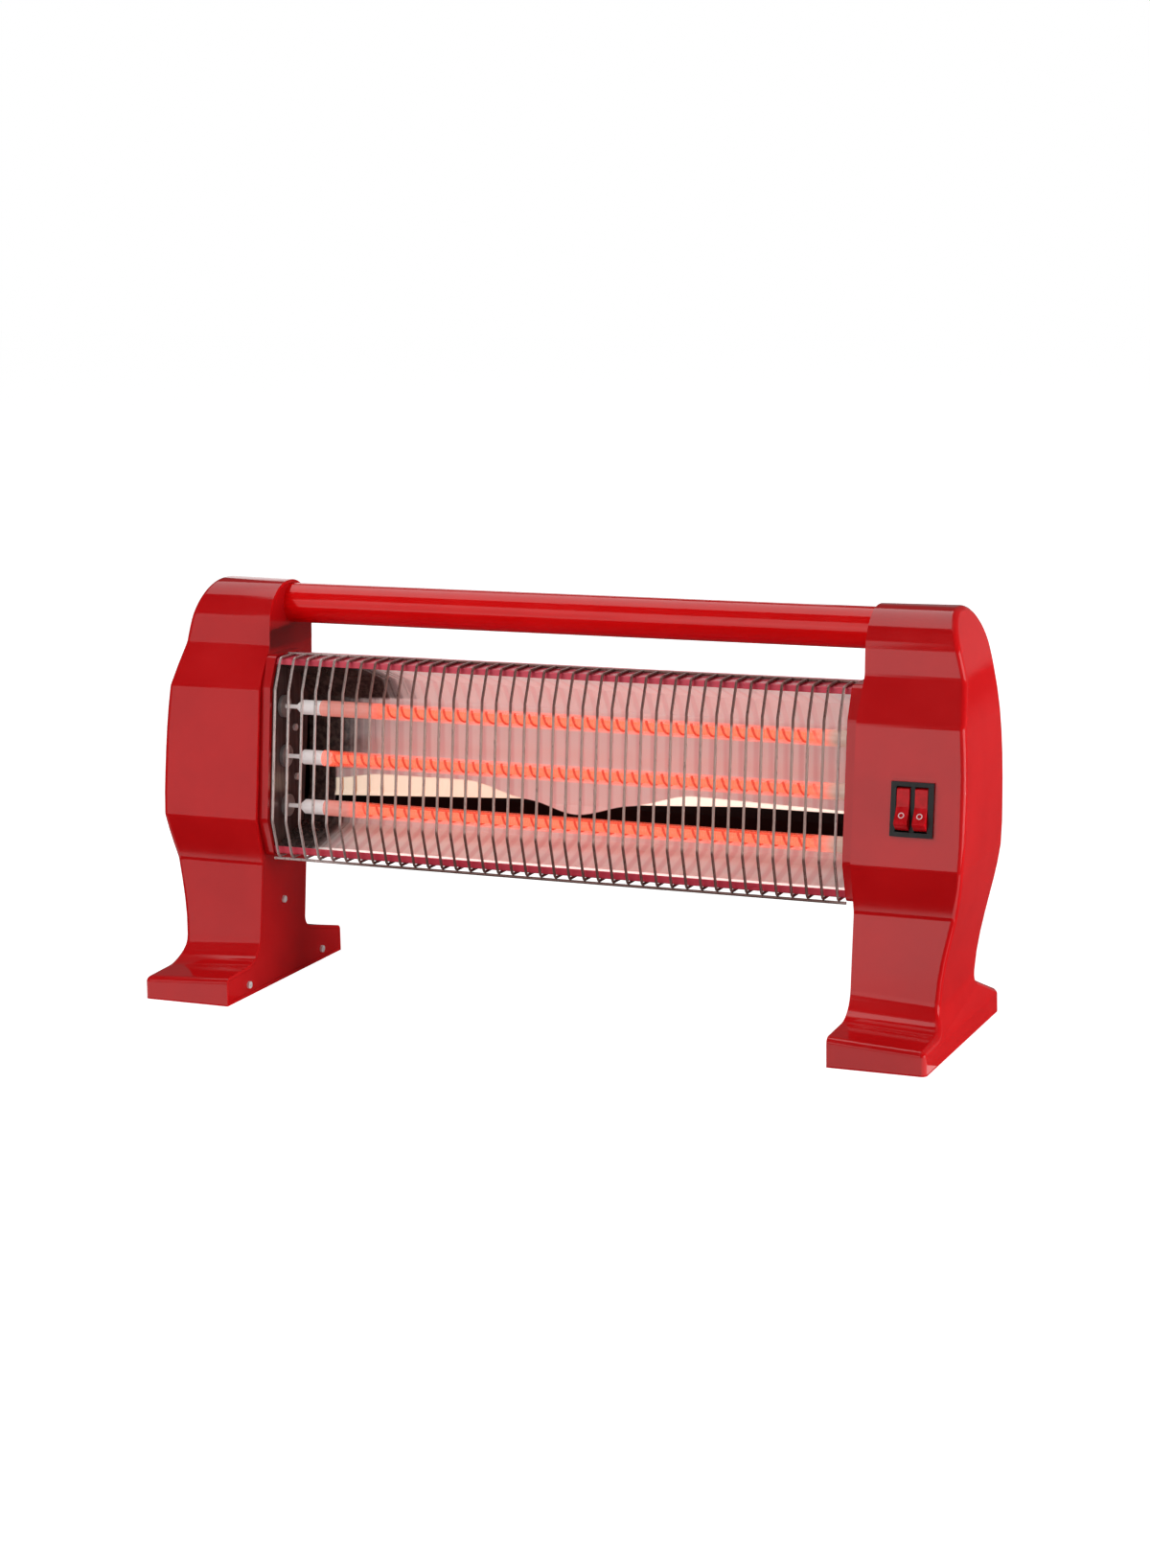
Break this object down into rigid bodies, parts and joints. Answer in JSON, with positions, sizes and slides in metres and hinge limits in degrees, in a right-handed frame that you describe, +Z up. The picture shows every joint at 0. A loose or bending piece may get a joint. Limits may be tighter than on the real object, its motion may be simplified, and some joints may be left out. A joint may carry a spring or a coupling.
{
  "type": "electric bar heater",
  "caption": "Low electric radiant heater: quartz tubes with glowing coils behind a bent wire grille, between two moulded red columns with feet, a carry handle and twin rocker switches.",
  "frame": {"origin": "middle of the footprint, on the floor", "axes": "+X to the right seen from the front, +Y to the rear, +Z up"},
  "size_m": [0.578, 0.168, 0.28],
  "materials": {
    "shell_red": "gloss",
    "panel_red": "gloss",
    "bright_steel": "bright plated",
    "handle_red": "gloss enamel",
    "black_plastic": "satin",
    "casing_red": "gloss enamel",
    "reflector_alu": "mirror polished",
    "end_plate_alu": "mirror polished",
    "quartz": "clear",
    "hot_coil": "glowing",
    "white_ceramic": "matt",
    "grey_ceramic": "matt",
    "rocker_red": "gloss",
    "brass_blades": "bright",
    "black_rubber": "matt"
  },
  "bodies": {
    "heater_body": {"left_shell": "shell_red", "right_shell": "shell_red", "left_inner_panel": "panel_red", "right_inner_panel": "panel_red", "left_panel_screws": "bright_steel", "right_panel_screws": "bright_steel", "carry_handle": "handle_red", "handle_plugs": "black_plastic", "handle_bolts": "bright_steel", "rear_casing": "casing_red", "reflector": "reflector_alu", "left_end_plate": "end_plate_alu", "right_end_plate": "end_plate_alu", "end_plate_screws": "bright_steel", "tube_top": "quartz", "tube_middle": "quartz", "tube_bottom": "quartz", "coil_top": "hot_coil", "coil_middle": "hot_coil", "coil_bottom": "hot_coil", "left_tube_caps": "white_ceramic", "right_tube_caps": "white_ceramic", "left_bushings": "grey_ceramic", "right_bushings": "grey_ceramic", "grille_wires": "bright_steel", "grille_rods": "bright_steel", "switch_housing": "black_plastic", "switch_terminals": "brass_blades", "terminal_block": "white_ceramic", "tilt_switch": "black_plastic", "cord_grommet": "black_rubber"},
    "rocker_left_body": {"rocker_left": "rocker_red"},
    "rocker_right_body": {"rocker_right": "rocker_red"}
  },
  "joints": [
    {"name": "rocker_left_tilt", "type": "hinge", "parent": "heater_body", "child": "rocker_left_body", "pos_m": [0.2485, -0.02706, 0.1575], "axis": [1, 0, 0], "range_deg": [0, 26]},
    {"name": "rocker_right_tilt", "type": "hinge", "parent": "heater_body", "child": "rocker_right_body", "pos_m": [0.2605, -0.02706, 0.1575], "axis": [1, 0, 0], "range_deg": [0, 26]}
  ]
}
